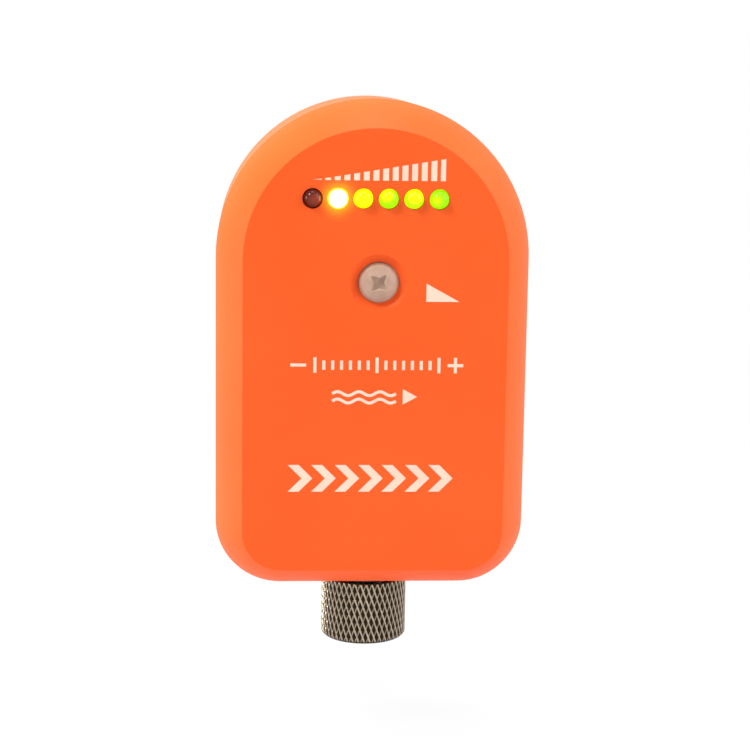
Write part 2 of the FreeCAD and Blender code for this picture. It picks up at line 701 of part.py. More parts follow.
def make_capacitor():
    """Can capacitor, with the groove that is rolled into its foot."""
    radius, height = "dims.capacitor_radius", "dims.capacitor_height"
    groove, half = "dims.capacitor_groove_z", "dims.capacitor_groove_width / 2"
    lathe("buffer_capacitor", "XY_Plane", [
        ("0", "0"), (radius, "0"), (radius, f"{groove} - {half}"),
        (f"{radius} - dims.capacitor_groove_depth", groove), (radius, f"{groove} + {half}"),
        (radius, f"{height} - dims.capacitor_edge"),
        (f"{radius} - dims.capacitor_edge", height), ("0", height),
    ], x="dims.capacitor_x", y=BOARD_BACK, z=f"{BOTTOM} + dims.capacitor_rise")


# ---- set point ----

def make_trimmer():
    """Square trimmer body with the well and the pivot hole of its rotor."""
    body = new_body("trimmer_body", x="dims.trimmer_x", y=BOARD_FRONT, z=TRIMMER_Z)
    block = facing(body, "trimmer_block", "0")
    draw_box(block, "0", "0", "dims.trimmer_side", "dims.trimmer_side")
    pad(body, block, "dims.trimmer_height", back=False)
    floor = f"(dims.rotor_thickness - dims.rotor_proud - dims.trimmer_height)"
    well = "(dims.rotor_radius + dims.rotor_gap)"
    pivot = "(dims.rotor_pivot_radius + dims.rotor_gap)"
    foot = f"({floor} + dims.rotor_pivot_length + dims.rotor_gap)"
    rest = f"({floor} + dims.rotor_gap)"
    bore(body, "trimmer_well", "XY_Plane", [
        ("0", "-dims.trimmer_height"), (well, "-dims.trimmer_height"), (well, rest),
        (pivot, rest), (pivot, foot), ("0", foot),
    ])


def make_rotor():
    """Disc of the trimmer with its pivot and the slot for a screwdriver."""
    face = "(-dims.trimmer_height - dims.rotor_proud)"
    floor = f"({face} + dims.rotor_thickness)"
    foot = f"({floor} + dims.rotor_pivot_length)"
    body = lathe("trimmer_rotor", "XY_Plane", [
        ("0", face), ("dims.rotor_radius", face), ("dims.rotor_radius", floor),
        ("dims.rotor_pivot_radius", floor), ("dims.rotor_pivot_radius", foot), ("0", foot),
    ], x="dims.trimmer_x", y=BOARD_FRONT, z=TRIMMER_Z)
    slot = facing(body, "rotor_slot", face)
    draw_box(slot, "0", "0", "dims.rotor_slot_width", "3 * dims.rotor_radius")
    pocket(body, slot, "dims.rotor_slot_depth")


def make_sealing_screw():
    """Nylon pan-head screw with a cross recess, over the trimmer."""
    under = "(-dims.plug_seal_thickness)"
    top = f"({under} - dims.plug_head_height)"
    edge = f"({top} + dims.plug_crown)"
    crown = "((dims.plug_head_radius ^ 2 + dims.plug_crown ^ 2) / (2 * dims.plug_crown))"
    tip = f"({under} + dims.plug_shank_length)"
    body = lathe("sealing_screw", "XY_Plane", [
        ("0", tip),
        ("0", top, ("0", f"{top} + {crown}"), 1),
        ("dims.plug_head_radius", edge),
        ("dims.plug_head_radius", under),
        ("dims.plug_shank_radius", under),
        ("dims.plug_shank_radius", f"{tip} - dims.plug_tip_chamfer"),
        ("dims.plug_shank_radius - dims.plug_tip_chamfer", tip),
    ], x="dims.trimmer_x", y=SEAT, z=TRIMMER_Z)
    arm, half = "(dims.plug_cross_length / 2)", "(dims.plug_cross_width / 2)"
    cross = facing(body, "cross_recess", top)
    draw(cross, [
        (arm, f"-{half}"), (arm, half), (half, half), (half, arm), (f"-{half}", arm),
        (f"-{half}", half), (f"-{arm}", half), (f"-{arm}", f"-{half}"), (f"-{half}", f"-{half}"),
        (f"-{half}", f"-{arm}"), (half, f"-{arm}"), (half, f"-{half}"),
    ])
    recess = pocket(body, cross, "dims.plug_cross_depth")
    recess.setExpression("TaperAngle", "-dims.plug_cross_taper")


def make_screw_seal():
    """Rubber washer under the head of the nylon screw."""
    hole = "(dims.plug_shank_radius + dims.plug_gap)"
    lathe("screw_seal", "XY_Plane", [
        (hole, "0"), ("dims.plug_seal_radius", "0"),
        ("dims.plug_seal_radius", "-dims.plug_seal_thickness"),
        (hole, "-dims.plug_seal_thickness"),
    ], x="dims.trimmer_x", y=SEAT, z=TRIMMER_Z)


# ---- M12 connector ----

def make_connector_shell():
    """Brass shell: threaded tube, and a grooved collar that the head is moulded round."""
    step = f"({COLLAR_TOP} - dims.insert_flange_height - dims.insert_gap)"
    lock_foot = f"({FLOOR} + {LOCK_FOOT})"
    lock_top = f"({lock_foot} + dims.collar_groove_width)"
    lock = "(dims.collar_radius - dims.collar_groove_depth)"
    flange = "(dims.insert_flange_radius + dims.insert_gap)"
    body = lathe("connector_shell", "XZ_Plane", [
        ("dims.shell_bore", SHELL_END),
        ("dims.shell_radius - dims.cap_chamfer", SHELL_END),
        ("dims.shell_radius", f"{SHELL_END} + dims.cap_chamfer"),
        ("dims.shell_radius", FLOOR),
        ("dims.collar_radius", FLOOR),
        ("dims.collar_radius", lock_foot), (lock, lock_foot),
        (lock, lock_top), ("dims.collar_radius", lock_top),
        ("dims.collar_radius", COLLAR_TOP),
        (flange, COLLAR_TOP),
        (flange, step), ("dims.shell_bore", step),
    ], y=CONNECTOR)
    key = new_sketch(body, "coding_key", "XY_Plane", f"{SHELL_END} + dims.cap_chamfer")
    reach = "(dims.shell_bore + dims.key_depth / 2)"
    draw_box(key, "0", f"-({reach} - dims.key_depth)", "dims.key_width", "dims.key_depth * 2")
    pad(body, key, f"{INSERT_FACE} - {SHELL_END} - dims.cap_chamfer - dims.insert_gap", back=False)


def contact_places():
    """The four contacts, a quarter of a turn apart."""
    reach = "(dims.contact_circle / sqrt(2))"
    return [(f"-{reach}", f"-{reach}"), (reach, f"-{reach}"),
            (reach, reach), (f"-{reach}", reach)]


def make_connector_insert():
    """Plastic insert that carries the contacts."""
    flange_foot = f"({COLLAR_TOP} - dims.insert_flange_height)"
    body = lathe("connector_insert", "XZ_Plane", [
        ("0", INSERT_FACE), ("dims.insert_radius", INSERT_FACE),
        ("dims.insert_radius", flange_foot), ("dims.insert_flange_radius", flange_foot),
        ("dims.insert_flange_radius", COLLAR_TOP), ("dims.insert_radius", COLLAR_TOP),
        ("dims.insert_radius", INSERT_TOP), ("0", INSERT_TOP),
    ], y=CONNECTOR)
    holes = new_sketch(body, "contact_holes", "XY_Plane", INSERT_FACE)
    for x, y in contact_places():
        draw_circle(holes, x, y, "dims.contact_radius + dims.contact_gap")
    pocket(body, holes, f"{INSERT_TOP} - {INSERT_FACE}", back=False)


def make_contact(name, x, y):
    """A round contact pin with a rounded tip."""
    tip = f"({INSERT_FACE} - dims.contact_length)"
    shoulder = f"({tip} + dims.contact_radius)"
    lathe(name, "XZ_Plane", [
        ("0", tip, ("0", shoulder), 1),
        ("dims.contact_radius", shoulder),
        ("dims.contact_radius", CONTACT_TOP),
        ("0", CONTACT_TOP),
    ], x=x, y=f"{CONNECTOR} + {y}")


def make_connector_leads():
    """Insulated wires from the contacts, up and forward to the back of the board."""
    body = new_body("connector_leads")
    for index, (x, y) in enumerate(contact_places(), start=1):
        wire = new_sketch(body, f"wire_section_{index}", "XY_Plane", CONTACT_TOP)
        start_y = f"({CONNECTOR} + {y})"
        draw_circle(wire, x, start_y, "dims.lead_radius")
        rise = "dims.lead_rise" if index <= 2 else "(dims.lead_rise + dims.lead_step)"
        path = new_sketch(body, f"wire_path_{index}", "YZ_Plane", x)
        bend_z = f"({CONTACT_TOP} + {rise})"
        bend_y = f"({start_y} - dims.lead_bend)"
        draw_route(path, start_y, CONTACT_TOP, bend_y, bend_z)
        doc.recompute()
        sweep(body, wire, path, 3)


def draw_route(path, start_y, start_z, bend_y, bend_z):
    """A straight run up, a quarter turn and a straight run to the back of the board."""
    value = {size: float(path.evalExpression(size))
             for size in (start_y, start_z, bend_y, bend_z, BOARD_BACK)}
    bend = SIZES["lead_bend"]
    top_z = f"{bend_z} + dims.lead_bend"
    up = path.addGeometry(Part.LineSegment(
        Vector(value[start_y], value[start_z], 0), Vector(value[start_y], value[bend_z], 0)))
    circle = Part.Circle(Vector(value[bend_y], value[bend_z], 0), Vector(0, 0, 1), bend)
    turn = path.addGeometry(Part.ArcOfCircle(circle, 0, math.pi / 2))
    out = path.addGeometry(Part.LineSegment(
        Vector(value[bend_y], value[bend_z] + bend, 0),
        Vector(value[BOARD_BACK], value[bend_z] + bend, 0)))
    path.addConstraint(Sketcher.Constraint("Coincident", up, 2, turn, 1))
    path.addConstraint(Sketcher.Constraint("Coincident", turn, 2, out, 1))
    for geometry, point, y, z in ((up, 1, start_y, start_z), (up, 2, start_y, bend_z),
                                  (turn, 2, bend_y, top_z), (out, 2, BOARD_BACK, top_z)):
        bind(path, "DistanceX", geometry, point, y)
        bind(path, "DistanceY", geometry, point, z)
    bind(path, "DistanceY", turn, 3, bend_z)


def make_root_seal():
    """O-ring at the root of the connector's thread, under the head."""
    inner = "(dims.shell_radius + dims.root_seal_gap / 2)"
    outer = f"({inner} + dims.root_seal_thickness)"
    round_over = "dims.root_seal_round"
    low = f"({CAP_RIM} + dims.root_seal_gap)"
    lathe("connector_o_ring", "XZ_Plane", [
        (inner, low), (f"{outer} - {round_over}", low), (outer, f"{low} + {round_over}"),
        (outer, f"{BOTTOM} - {round_over}"), (f"{outer} - {round_over}", BOTTOM),
        (inner, BOTTOM),
    ], y=CONNECTOR)


def make_cap():
    """Knurled cap that screws on the connector; the knurl itself is surface texture."""
    inside = "(dims.shell_radius + dims.cap_gap)"
    lathe("protective_cap", "XZ_Plane", [
        ("0", CAP_END), ("dims.cap_radius - dims.cap_chamfer", CAP_END),
        ("dims.cap_radius", f"{CAP_END} + dims.cap_chamfer"),
        ("dims.cap_radius", f"{CAP_RIM} - dims.cap_chamfer / 2"),
        ("dims.cap_radius - dims.cap_chamfer / 2", CAP_RIM),
        (inside, CAP_RIM), (inside, CAP_FLOOR), ("0", CAP_FLOOR),
    ], y=CONNECTOR)


def make_cap_seal():
    """Rubber disc on the floor of the cap."""
    edge = "(dims.shell_radius - dims.seal_gap)"
    top = f"({CAP_FLOOR} + dims.cap_seal_thickness)"
    lathe("cap_seal", "XZ_Plane", [
        ("0", CAP_FLOOR), (edge, CAP_FLOOR), (edge, top), ("0", top),
    ], y=CONNECTOR)


# ---- process fitting and probe ----

def make_process_fitting():
    """Stainless fitting: stub through the head, shoulder, hexagon and G1/2 spigot."""
    body = new_body("process_fitting")
    hexagon = facing(body, "fitting_hexagon", "-dims.hex_thickness")
    draw_hexagon(hexagon, "dims.hex_size")
    pad(body, hexagon, "dims.hex_thickness")
    doc.recompute()
    corner = "(dims.hex_size / sqrt(3))"
    for name, face, inward in (("hex_inner_chamfer", "-dims.hex_thickness", "+"),
                               ("hex_outer_chamfer", "0", "-")):
        bore(body, name, "XY_Plane", [
            ("dims.hex_face_radius", face),
            (f"{corner} + dims.hex_chamfer", face),
            (f"{corner} + dims.hex_chamfer", f"{face} {inward} dims.hex_chamfer"),
            (corner, f"{face} {inward} dims.hex_chamfer"),
        ])
    tail = f"({NUT_FACE} - dims.stub_tail)"
    spigot = new_sketch(body, "fitting_profile", "XY_Plane")
    draw(spigot, [
        ("0", tail), ("dims.stub_radius - dims.thread_chamfer / 2", tail),
        ("dims.stub_radius", f"{tail} + dims.thread_chamfer / 2"),
        ("dims.stub_radius", BACK), ("dims.shoulder_radius", BACK),
        ("dims.shoulder_radius", "-dims.hex_thickness + dims.hex_chamfer / 2"),
        ("dims.thread_radius", "-dims.hex_thickness + dims.hex_chamfer / 2"),
        ("dims.thread_radius", "dims.thread_length - dims.thread_chamfer"),
        ("dims.thread_radius - dims.thread_chamfer", "dims.thread_length"),
        ("0", "dims.thread_length"),
    ])
    turned(body, spigot)
    half = "(dims.thread_pitch - dims.thread_crest) / 2"
    middle = "(dims.thread_start + dims.thread_pitch / 2)"
    ring = bore(body, "thread_ring", "XY_Plane", [
        ("dims.thread_radius", f"{middle} - {half}"), ("dims.thread_radius", f"{middle} + {half}"),
        ("dims.thread_radius - dims.thread_depth", middle),
    ])
    repeat(body, ring, "Y_Axis", f"({THREAD_TURNS} - 1) * dims.thread_pitch", THREAD_TURNS)
    sleeve = "(dims.probe_radius + dims.probe_gap)"
    bore(body, "fitting_bores", "XY_Plane", [
        ("0", tail), ("dims.fitting_bore", tail), ("dims.fitting_bore", "dims.probe_root"),
        (sleeve, "dims.probe_root"), (sleeve, "dims.thread_length"), ("0", "dims.thread_length"),
    ])
    inner = "(dims.fitting_seal_inner - dims.seal_gap)"
    outer = "(dims.fitting_seal_inner + dims.fitting_seal_section + dims.seal_gap)"
    bore(body, "seal_groove", "XY_Plane", [
        (inner, BACK), (outer, BACK), (outer, f"{BACK} + dims.fitting_seal_section"),
        (inner, f"{BACK} + dims.fitting_seal_section"),
    ])


def make_fitting_nut():
    """Hexagon nut that clamps the back of the head to the fitting's shoulder."""
    body = new_body("fitting_nut")
    block = facing(body, "nut_hexagon", NUT_FACE)
    draw_hexagon(block, "(2 * (dims.stub_radius + dims.nut_wall))")
    pad(body, block, "dims.nut_thickness")
    thread = facing(body, "nut_thread", NUT_FACE)
    draw_circle(thread, "0", "0", "dims.stub_radius + dims.nut_gap")
    pocket(body, thread, "dims.nut_thickness")


def make_fitting_seal():
    """O-ring between the shoulder and the back of the head."""
    body = new_body("fitting_o_ring")
    ring = new_sketch(body, "o_ring_section", "XY_Plane")
    radius = "(dims.fitting_seal_section / 2)"
    draw_circle(ring, f"dims.fitting_seal_inner + {radius}", f"{BACK} + {radius}", radius)
    turned(body, ring)


def make_probe_sleeve():
    """Closed stainless sleeve, welded into the spigot."""
    inside = "(dims.probe_radius - dims.probe_wall)"
    nose = "(dims.probe_reach - dims.probe_nose)"
    shoulder = "(dims.probe_radius - dims.probe_nose)"
    lathe("probe_sleeve", "XY_Plane", [
        ("0", PROBE_FLOOR), (inside, PROBE_FLOOR),
        (inside, "dims.probe_root + dims.probe_gap"),
        ("dims.probe_radius", "dims.probe_root + dims.probe_gap"),
        ("dims.probe_radius", nose, (shoulder, nose), 1),
        (shoulder, "dims.probe_reach"), ("0", "dims.probe_reach"),
    ])


def make_sensor_strip():
    """Ceramic strip across the bore of the probe."""
    body = new_body("sensor_strip")
    width = "(2 * (dims.probe_radius - dims.probe_wall - dims.strip_side_gap))"
    section = facing(body, "strip_section", "-dims.strip_tail")
    draw_box(section, "0", "0", width, "dims.strip_thickness")
    pad(body, section, f"dims.strip_tail + {STRIP_TIP}")


def make_sensor(name, back):
    """A temperature element on the strip, its centre some way back from the tip."""
    body = new_body(name)
    base = new_sketch(body, f"{name}_outline", "XY_Plane", "dims.strip_thickness / 2")
    draw_box(base, "0", f"({STRIP_TIP} - {back})", "dims.sensor_width", "dims.sensor_length")
    block = pad(body, base, "dims.sensor_height", back=False)
    doc.recompute()
    top = edges_at(block.Shape, lambda point: is_near(
        point.z, "dims.strip_thickness / 2 + dims.sensor_height"))
    dress(body, "Chamfer", block, top, "dims.component_chamfer / 2")


def make_sensor_leads():
    """Four wires from the tail of the strip to the back of the board."""
    body = new_body("sensor_leads")
    wires = facing(body, "sensor_wires", f"-dims.strip_tail + dims.sensor_lead_overlap")
    for step in (-1.5, -0.5, 0.5, 1.5):
        draw_circle(wires, f"{step} * dims.sensor_lead_pitch",
                    "dims.strip_thickness / 2 + dims.sensor_lead_radius",
                    "dims.sensor_lead_radius")
    pad(body, wires, f"-dims.strip_tail + dims.sensor_lead_overlap - {BOARD_BACK}", back=False)


def build():
    """All the sub-parts, in the order of the product's assembly."""
    make_front_cover()
    make_rear_housing()
    make_cover_gasket()
    make_screws("housing_screws", HOUSING_SCREWS, f"({BACK} - dims.screw_sink)",
                "dims.rear_depth - dims.screw_sink + dims.screw_thread",
                ("dims.screw_radius", "dims.screw_head_radius", "dims.screw_head_height",
                 "dims.screw_head_round"))
    make_circuit_board()
    make_screws("board_screws", BOARD_SCREWS, BOARD_BACK,
                "dims.board_thickness + dims.board_screw_grip",
                ("dims.board_screw_radius", "dims.board_screw_head_radius",
                 "dims.board_screw_head_height", "dims.board_screw_head_round"))
    make_lamp_spacer()
    for index, name in enumerate(LAMPS):
        make_lamp(name, index)
    make_chip("processor_chip", "dims.processor_x", "dims.processor_rise",
              "dims.processor_side", "dims.processor_side", "dims.processor_height")
    make_chip("output_transistor", "dims.transistor_x", "dims.transistor_rise",
              "dims.transistor_width", "dims.transistor_length", "dims.transistor_height")
    make_capacitor()
    make_trimmer()
    make_rotor()
    make_sealing_screw()
    make_screw_seal()
    make_connector_shell()
    make_connector_insert()
    for index, (x, y) in enumerate(contact_places(), start=1):
        make_contact(f"contact_pin_{index}", x, y)
    make_connector_leads()
    make_root_seal()
    make_cap()
    make_cap_seal()
    make_process_fitting()
    make_fitting_nut()
    make_fitting_seal()
    make_probe_sleeve()
    make_sensor_strip()
    make_sensor("heated_sensor", "dims.heated_sensor_back")
    make_sensor("reference_sensor", "dims.reference_sensor_back")
    make_sensor_leads()


def check_and_write():
    """Refuses a document with a failed object or a broken shape, then writes one STEP each."""
    for item in doc.Objects:
        if {"Invalid", "Error"} & set(item.State):
            raise RuntimeError(f"{item.Name} failed: {item.State}")
    bodies = [item for item in doc.Objects if item.TypeId == "PartDesign::Body"]
    for body in bodies:
        if body.Shape.isNull() or not body.Shape.isValid():
            raise RuntimeError(f"{body.Label} has no valid shape")
    os.makedirs("parts", exist_ok=True)
    for body in bodies:
        body.Shape.exportStep(f"parts/{body.Label}.step")
    print(f"{len(bodies)} sub-parts")


build()
doc.recompute()
check_and_write()
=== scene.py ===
"""Looks of the thermal flow switch: finishes, knurl, threads, printed scale, lamps and studio.

The scene is in metres. The sizes of pieces are given in millimetres and scaled once.
"""

import json
import math

import bmesh
import bpy
from mathutils import Matrix, Vector


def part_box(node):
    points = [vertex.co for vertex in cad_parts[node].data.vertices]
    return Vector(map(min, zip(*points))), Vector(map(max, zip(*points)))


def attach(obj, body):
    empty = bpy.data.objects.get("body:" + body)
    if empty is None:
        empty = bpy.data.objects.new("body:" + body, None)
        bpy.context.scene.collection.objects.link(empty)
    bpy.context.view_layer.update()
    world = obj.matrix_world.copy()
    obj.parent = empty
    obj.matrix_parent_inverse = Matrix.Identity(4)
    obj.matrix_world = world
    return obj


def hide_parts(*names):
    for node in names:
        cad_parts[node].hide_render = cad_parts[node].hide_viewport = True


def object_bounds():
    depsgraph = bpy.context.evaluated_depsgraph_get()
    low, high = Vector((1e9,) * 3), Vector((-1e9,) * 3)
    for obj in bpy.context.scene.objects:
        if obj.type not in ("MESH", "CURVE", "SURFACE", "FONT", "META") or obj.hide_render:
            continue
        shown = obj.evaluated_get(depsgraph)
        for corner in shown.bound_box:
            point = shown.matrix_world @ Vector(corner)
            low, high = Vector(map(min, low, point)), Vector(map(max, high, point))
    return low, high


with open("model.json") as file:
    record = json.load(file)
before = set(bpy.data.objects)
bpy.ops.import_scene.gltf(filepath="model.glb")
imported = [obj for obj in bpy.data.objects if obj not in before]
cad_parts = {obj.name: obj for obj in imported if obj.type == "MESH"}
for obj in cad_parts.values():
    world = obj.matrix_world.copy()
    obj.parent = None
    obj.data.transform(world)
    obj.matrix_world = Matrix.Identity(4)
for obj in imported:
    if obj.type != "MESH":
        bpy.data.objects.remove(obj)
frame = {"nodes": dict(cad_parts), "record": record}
cad_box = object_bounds()
NODES = frame["nodes"]
MOUNTS = {mount["name"]: mount for mount in frame["record"]["mounts"]}
MM = 0.001
LAMPS = ["led_red", "led_yellow", "led_green_1", "led_green_2", "led_green_3", "led_green_4"]


def span(node, axis):
    """Lowest and highest coordinate of a CAD node along an axis, in millimetres."""
    low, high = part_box(node)
    return low[axis] / MM, high[axis] / MM


def middle(node, axis):
    """Middle of a CAD node along an axis, in millimetres."""
    return sum(span(node, axis)) / 2


PANEL = span("front_cover", 1)[0]
LAMP_SPOTS = [(middle(name, 0), middle(name, 2)) for name in LAMPS]
SCREW_X, SCREW_Z = middle("sealing_screw", 0), middle("sealing_screw", 2)

# Lengths in millimetres
LAMP_RADIUS = 1.5
# reach of the painted glow round the lit lamp
PAINTED_GLOW_RADIUS = 2.6 * LAMP_RADIUS
CAP_CLEARANCE = 12.0        # from the cap at rest to the floor
INK_PROUD = 0.025           # ink above the panel
INK_SUNK = 0.01             # ink below the panel's surface
M12_PITCH = 1.0
PIPE_PITCH = 1.814
PLUG_PITCH = 0.5


# ---- materials ----

def add(tree, kind, inputs=(), **settings):
    """A shader node with values or links at its inputs."""
    item = tree.nodes.new("ShaderNode" + kind)
    for key, value in settings.items():
        setattr(item, key, value)
    for key, value in dict(inputs).items():
        if isinstance(value, bpy.types.NodeSocket):
            tree.links.new(value, item.inputs[key])
        else:
            item.inputs[key].default_value = value
    return item


def start(name, roughness, **values):
    """A new material: its tree, its shader and the object's own coordinates."""
    material = bpy.data.materials.new(name)
    material.use_nodes = True
    tree = material.node_tree
    shader = tree.nodes["Principled BSDF"]
    shader.inputs["Roughness"].default_value = roughness
    for key, value in values.items():
        shader.inputs[key.replace("_", " ")].default_value = value
    coords = add(tree, "TexCoord").outputs["Object"]
    return material, tree, shader, coords


def noise(tree, coords, size_mm, detail=2.0):
    """Noise with features of about this size."""
    return add(tree, "TexNoise", {"Vector": coords, "Scale": 1 / (size_mm * MM),
                                  "Detail": detail}).outputs["Fac"]


def spread(tree, value, low, high):
    """A noise value spread between two values."""
    return add(tree, "MapRange", {"Value": value, "From Min": 0.3, "From Max": 0.7,
                                  "To Min": low, "To Max": high}).outputs["Result"]


def blend(tree, factor, first, second):
    """Two colours mixed by a factor."""
    mix = add(tree, "Mix", {"Factor": factor}, data_type="RGBA")
    for socket, value in zip((mix.inputs[6], mix.inputs[7]), (first, second)):
        if isinstance(value, bpy.types.NodeSocket):
            tree.links.new(value, socket)
        else:
            socket.default_value = (*value, 1)
    return mix.outputs[2]


def relief(tree, shader, height, depth_mm, edge_mm=0.0):
    """Bump of a real depth, over edges softened by a small radius."""
    inputs = {"Height": height, "Distance": depth_mm * MM, "Strength": 1.0}
    if edge_mm:
        bevel = add(tree, "Bevel", {"Radius": edge_mm * MM}, samples=6)
        inputs["Normal"] = bevel.outputs["Normal"]
    bump = add(tree, "Bump", inputs)
    tree.links.new(bump.outputs["Normal"], shader.inputs["Normal"])


def plain(name, color, roughness, grain_mm=0.3, depth_mm=0.004, vary=0.06, edge_mm=0.0, **values):
    """A finish of one colour with a fine grain and a slight change of tone."""
    material, tree, shader, coords = start(name, roughness, **values)
    tone = spread(tree, noise(tree, coords, grain_mm * 12, 3.0), 0.0, 1.0)
    low = tuple(part * (1 - vary) for part in color)
    high = tuple(min(part * (1 + vary), 1.0) for part in color)
    tree.links.new(blend(tree, tone, low, high), shader.inputs["Base Color"])
    fine = noise(tree, coords, grain_mm, 2.0)
    rough = spread(tree, fine, max(roughness - 0.05, 0.02), roughness + 0.05)
    tree.links.new(rough, shader.inputs["Roughness"])
    relief(tree, shader, fine, depth_mm, edge_mm)
    return material


def orange_plastic(name, gloss):
    """Satin moulded plastic: a fine grain, a slow drift of tone, softened edges."""
    material, tree, shader, coords = start(name, 0.46, Specular_IOR_Level=gloss)
    drift = spread(tree, noise(tree, coords, 22.0, 2.0), 0.0, 1.0)
    speckle = spread(tree, noise(tree, coords, 0.5, 3.0), 0.0, 0.12)
    base = blend(tree, drift, (0.82, 0.098, 0.0165), (0.86, 0.107, 0.0195))
    tree.links.new(blend(tree, speckle, base, (0.75, 0.085, 0.0135)), shader.inputs["Base Color"])
    # painted glow of the lit yellow lamp, as emission on the plastic round its hole
    painted_lamp_glow(tree, shader, coords)
    grain = noise(tree, coords, 0.22, 3.0)
    tree.links.new(spread(tree, grain, 0.42, 0.52), shader.inputs["Roughness"])
    relief(tree, shader, grain, 0.006, 0.12)
    return material


def painted_lamp_glow(tree, shader, coords):
    """Painted glow of the brightest lamp: emission on the plastic round its hole."""
    x, z = LAMP_SPOTS[1]
    radius = radius_from(tree, coords, "Y", (x * MM, 0, z * MM))
    fade = fall(tree, radius, LAMP_RADIUS, PAINTED_GLOW_RADIUS)
    depth = add(tree, "SeparateXYZ", {0: coords}).outputs["Y"]
    front = fall(tree, depth, PANEL + 0.5, PANEL + 2.0)
    soft = add(tree, "Math", {0: fade, 1: 2.4}, operation="POWER").outputs[0]
    light = add(tree, "Math", {0: soft, 1: front}, operation="MULTIPLY").outputs[0]
    tree.links.new(blend(tree, light, (0, 0, 0), (1.0, 0.42, 0.0)),
                   shader.inputs["Emission Color"])
    shader.inputs["Emission Strength"].default_value = 0.8


def fall(tree, value, start_mm, end_mm):
    """A length's fall from 1 to 0 between two lengths."""
    return add(tree, "MapRange", {"Value": value, "From Min": start_mm * MM,
                                  "From Max": end_mm * MM, "To Min": 1.0,
                                  "To Max": 0.0}).outputs["Result"]


def metal(name, color, roughness, grain_mm=0.25, edge_mm=0.0, on_lathe=False):
    """Metal with fine machining marks, which run round the probe's axis if it was turned."""
    material, tree, shader, coords = start(name, roughness, Metallic=1.0)
    if on_lathe:
        along = add(tree, "SeparateXYZ", {0: coords}).outputs["Y"]
        coords = add(tree, "CombineXYZ", {0: radius_from(tree, coords, "Y", (0, 0, 0)),
                                          1: along}).outputs[0]
    marks = noise(tree, coords, grain_mm, 4.0)
    dark = tuple(part * 0.86 for part in color)
    tree.links.new(blend(tree, spread(tree, marks, 0.0, 1.0), dark, color),
                   shader.inputs["Base Color"])
    tree.links.new(spread(tree, marks, roughness * 0.75, roughness * 1.3),
                   shader.inputs["Roughness"])
    relief(tree, shader, marks, 0.003, edge_mm)
    return material


def radius_from(tree, coords, axis, centre):
    """Distance of the surface from an axis along Y or Z, in metres."""
    moved = add(tree, "VectorMath", {0: coords, 1: centre}, operation="SUBTRACT").outputs[0]
    keep = (1, 0, 1) if axis == "Y" else (1, 1, 0)
    flat = add(tree, "VectorMath", {0: moved, 1: keep}, operation="MULTIPLY").outputs[0]
    return add(tree, "VectorMath", {0: flat}, operation="LENGTH").outputs["Value"]


def knurled_nickel():
    """Warm nickel plate, with painted shade that darkens the pits of the knurl below its ridges.
    """
    material, tree, shader, coords = start("knurled_nickel", 0.24, Metallic=1.0)
    centre = (0, middle("protective_cap", 1) * MM, 0)
    radius = radius_from(tree, coords, "Z", centre)
    outside = span("protective_cap", 0)[1] * MM
    # painted shade: nearly black in the pits, the plate's colour on the ridges
    pit_shade_mask = add(tree, "MapRange", {"Value": radius, "From Min": outside - 0.21 * MM,
                                  "From Max": outside - 0.04 * MM},
               interpolation_type="SMOOTHSTEP").outputs["Result"]
    patch = spread(tree, noise(tree, coords, 1.2, 4.0), 0.0, 1.0)
    plate = blend(tree, patch, (0.40, 0.325, 0.245), (0.60, 0.50, 0.39))
    tree.links.new(blend(tree, pit_shade_mask, (0.030, 0.019, 0.010), plate), shader.inputs["Base Color"])
    fine = noise(tree, coords, 0.12, 3.0)
    tree.links.new(spread(tree, fine, 0.14, 0.30), shader.inputs["Roughness"])
    relief(tree, shader, fine, 0.006)
    return material


def lamp(name, spot, edge, heart, glow, heart_size, lean=(0.0, 0.0)):
    """Tinted epoxy of a lamp. A lit one shines from its heart, which may lean to a side."""
    material, tree, shader, coords = start(name, 0.14, Specular_IOR_Level=0.14)
    centre = ((spot[0] + lean[0]) * MM, 0, (spot[1] + lean[1]) * MM)
    radius = radius_from(tree, coords, "Y", centre)
    depth = add(tree, "MapRange", {"Value": radius, "From Min": LAMP_RADIUS * heart_size * MM,
                                   "From Max": LAMP_RADIUS * MM},
                interpolation_type="SMOOTHSTEP").outputs["Result"]
    tint = blend(tree, depth, heart, edge)
    if glow:
        shader.inputs["Base Color"].default_value = (*(part * 0.4 for part in edge), 1)
        tree.links.new(tint, shader.inputs["Emission Color"])
        shader.inputs["Emission Strength"].default_value = glow
    else:
        # an unlit lamp's lighter heart, moved to a side by lean, is painted light through the
        # dome
        tree.links.new(tint, shader.inputs["Base Color"])
    relief(tree, shader, noise(tree, coords, 0.5, 1.0), 0.002)
    return material


def nylon():
    """Natural nylon: milky, slightly see-through, with soft wear."""
    material, tree, shader, coords = start(
        "nylon", 0.42, Subsurface_Weight=0.35, Subsurface_Scale=0.6 * MM,
        Subsurface_Radius=(1.0, 0.6, 0.4))
    cloud = spread(tree, noise(tree, coords, 1.6, 4.0), 0.0, 1.0)
    tree.links.new(blend(tree, cloud, (0.39, 0.245, 0.175), (0.47, 0.31, 0.23)),
                   shader.inputs["Base Color"])
    fine = noise(tree, coords, 0.15, 3.0)
    tree.links.new(spread(tree, fine, 0.34, 0.52), shader.inputs["Roughness"])
    relief(tree, shader, fine, 0.008)
    return material


